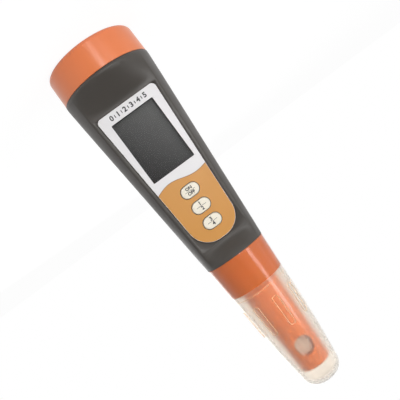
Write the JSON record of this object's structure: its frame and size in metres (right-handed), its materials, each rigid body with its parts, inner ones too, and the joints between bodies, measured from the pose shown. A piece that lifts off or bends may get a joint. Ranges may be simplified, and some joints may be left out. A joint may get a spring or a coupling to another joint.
{
  "type": "pen water quality tester",
  "caption": "Tapered pen tester for dissolved solids, conductivity and temperature: screw battery cap, display, keys, guarded probe and clear pull-off cap.",
  "frame": {"origin": "centre of the battery cap's flat end, on which the tester stands", "axes": "+Z along the body towards the clear cap's tip, -Y towards the side with the display and keys"},
  "size_m": [0.0396, 0.0396, 0.16],
  "materials": {
    "housing_grey": "satin moulded ABS, fine grain",
    "cap_orange": "glossy moulded orange plastic",
    "probe_orange": "glossy moulded orange plastic",
    "clear_plastic": "clear moulded polycarbonate",
    "label_film": "printed white and amber film",
    "window_lens": "clear lens",
    "display": "dark display glass",
    "display_frame": "black moulded frame",
    "key_cream": "cream satin keys",
    "rubber_black": "black rubber",
    "foam_black": "black foam",
    "board_green": "green solder mask",
    "component_black": "black moulded packages",
    "solder_metal": "tinned metal",
    "connector_white": "natural nylon",
    "wire_red": "red insulation",
    "wire_black": "black insulation",
    "wire_white": "white insulation",
    "holder_black": "black moulded nylon",
    "cell_steel": "nickel plated steel",
    "spring_metal": "nickel plated spring strip",
    "screw_steel": "zinc plated steel",
    "core_white": "white insulator",
    "pin_metal": "stainless steel pins"
  },
  "bodies": {
    "housing": {"battery_holder": "holder_black", "battery_lead_left": "wire_red", "battery_lead_right": "wire_black", "button_cell_left_1": "cell_steel", "button_cell_left_2": "cell_steel", "button_cell_right_1": "cell_steel", "button_cell_right_2": "cell_steel", "cell_spring_left": "spring_metal", "cell_spring_right": "spring_metal", "chip_components": "component_black", "circuit_board": "board_green", "clock_crystal": "solder_metal", "display_frame": "display_frame", "display_gasket": "foam_black", "display_glass": "display", "display_window": "window_lens", "electrode_left": "pin_metal", "electrode_right": "pin_metal", "holder_screws": "screw_steel", "housing": "housing_grey", "key_switches": "component_black", "label": "label_film", "neck_seal": "rubber_black", "probe": "probe_orange", "probe_seal": "rubber_black", "processor": "component_black", "sensor_blade": "core_white", "sensor_core": "core_white", "sensor_plug": "connector_white", "sensor_socket": "connector_white", "sensor_wires": "wire_white", "temperature_sensor": "pin_metal", "zebra_strips": "rubber_black"},
    "contact_bridge": {"contact_carrier": "holder_black", "contact_strip": "spring_metal"},
    "battery_cap": {"battery_cap": "cap_orange", "swivel_washer": "spring_metal"},
    "clear_cap": {"clear_cap": "clear_plastic"},
    "key_power": {"key_power": "key_cream", "plunger_power": "component_black"},
    "key_hold": {"key_hold": "key_cream", "plunger_hold": "component_black"},
    "key_mode": {"key_mode": "key_cream", "plunger_mode": "component_black"}
  },
  "joints": [
    {"name": "clear_cap_pull", "type": "slide", "parent": "housing", "child": "clear_cap", "axis": [0, 0, 1], "range_m": [0, 0.06]},
    {"name": "battery_cap_advance", "type": "slide", "parent": "housing", "child": "contact_bridge", "axis": [0, 0, -1], "range_m": [0, 0.0101]},
    {"name": "battery_cap_turn", "type": "hinge", "parent": "contact_bridge", "child": "battery_cap", "pos_m": [0, 0, 0.006], "axis": [0, 0, -1], "range_deg": [0, 720]},
    {"name": "key_power_press", "type": "slide", "parent": "housing", "child": "key_power", "axis": [0, 0.9987, -0.0519], "range_m": [0, 0.00035], "stiffness_N_per_m": 800, "springref_m": -0.0006},
    {"name": "key_hold_press", "type": "slide", "parent": "housing", "child": "key_hold", "axis": [0, 0.9987, -0.0519], "range_m": [0, 0.00035], "stiffness_N_per_m": 800, "springref_m": -0.0006},
    {"name": "key_mode_press", "type": "slide", "parent": "housing", "child": "key_mode", "axis": [0, 0.9987, -0.0519], "range_m": [0, 0.00035], "stiffness_N_per_m": 800, "springref_m": -0.0006}
  ],
  "couplings": [
    {"joint": "battery_cap_advance", "follows": "battery_cap_turn", "m_per_rad": 0.00079577}
  ]
}
